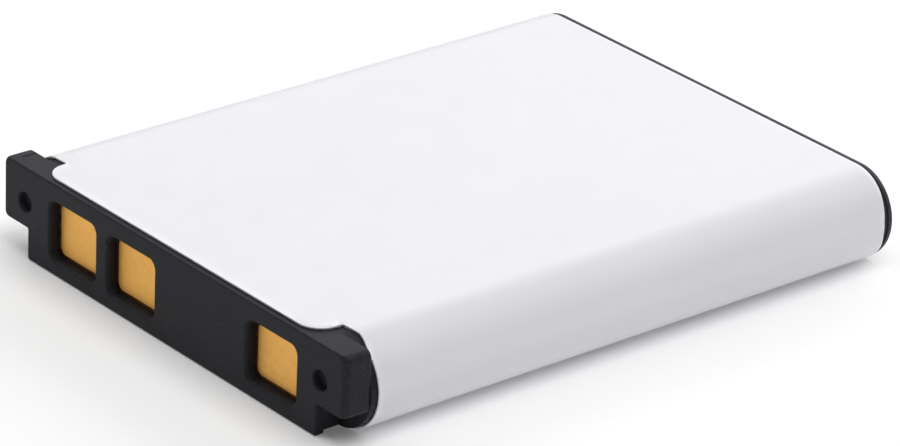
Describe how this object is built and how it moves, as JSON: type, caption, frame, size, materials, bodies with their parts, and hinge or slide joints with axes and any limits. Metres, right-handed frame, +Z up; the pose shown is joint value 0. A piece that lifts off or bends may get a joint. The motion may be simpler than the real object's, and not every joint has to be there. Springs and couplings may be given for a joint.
{
  "type": "prismatic battery pack",
  "caption": "Flat rectangular rechargeable battery pack with rounded sides, a moulded contact header with recessed pads at one short end and a plain cap at the other.",
  "frame": {"origin": "centre of the footprint, on the surface the pack lies on", "axes": "+X across the pack, +Y from the contact header to the end cap, +Z up through the labelled face"},
  "size_m": [0.0316, 0.0396, 0.0057],
  "materials": {
    "label_film": "satin white film",
    "black_plastic": "fine moulded grain",
    "gold_plate": "satin gold plating",
    "circuit_board": "dark brown solder mask",
    "chip_epoxy": "moulded epoxy",
    "chip_ceramic": "unglazed",
    "chip_resistor": "black glaze",
    "nickel": "rolled strip",
    "solder": "reflowed, satin",
    "aluminium": "drawn, satin",
    "fish_paper": "matte",
    "adhesive": "double-sided tape",
    "insulator": "natural polypropylene",
    "anode": "graphite coating",
    "cathode": "oxide coating",
    "separator": "porous film",
    "yellow_tape": "polyimide tape",
    "cutoff": "moulded"
  },
  "bodies": {
    "root": {"label_wrap": "label_film", "contact_header": "black_plastic", "contact_pad_positive": "gold_plate", "contact_pad_sense": "gold_plate", "contact_pad_negative": "gold_plate", "protection_board": "circuit_board", "mosfet_pair": "chip_epoxy", "protection_ic": "chip_epoxy", "thermistor": "chip_resistor", "id_resistor": "chip_resistor", "filter_resistor": "chip_resistor", "filter_capacitor": "chip_ceramic", "positive_strip": "nickel", "negative_strip": "nickel", "thermal_cutoff": "cutoff", "board_negative_strip": "nickel", "solder_joint_positive": "solder", "solder_joint_negative": "solder", "lid_paper": "fish_paper", "header_adhesive_left": "adhesive", "header_adhesive_right": "adhesive", "cell_can": "aluminium", "cell_lid": "aluminium", "fill_plug": "aluminium", "terminal_rivet": "nickel", "rivet_gasket": "insulator", "inner_insulator": "insulator", "collector_plate": "nickel", "anode_tab": "nickel", "cathode_tab": "aluminium", "top_insulator": "insulator", "bottom_insulator": "insulator", "separator_inner": "separator", "anode_sheet": "anode", "separator_outer": "separator", "cathode_sheet": "cathode", "winding_tape": "yellow_tape", "end_cap": "black_plastic", "end_cap_adhesive": "adhesive"}
  },
  "joints": []
}
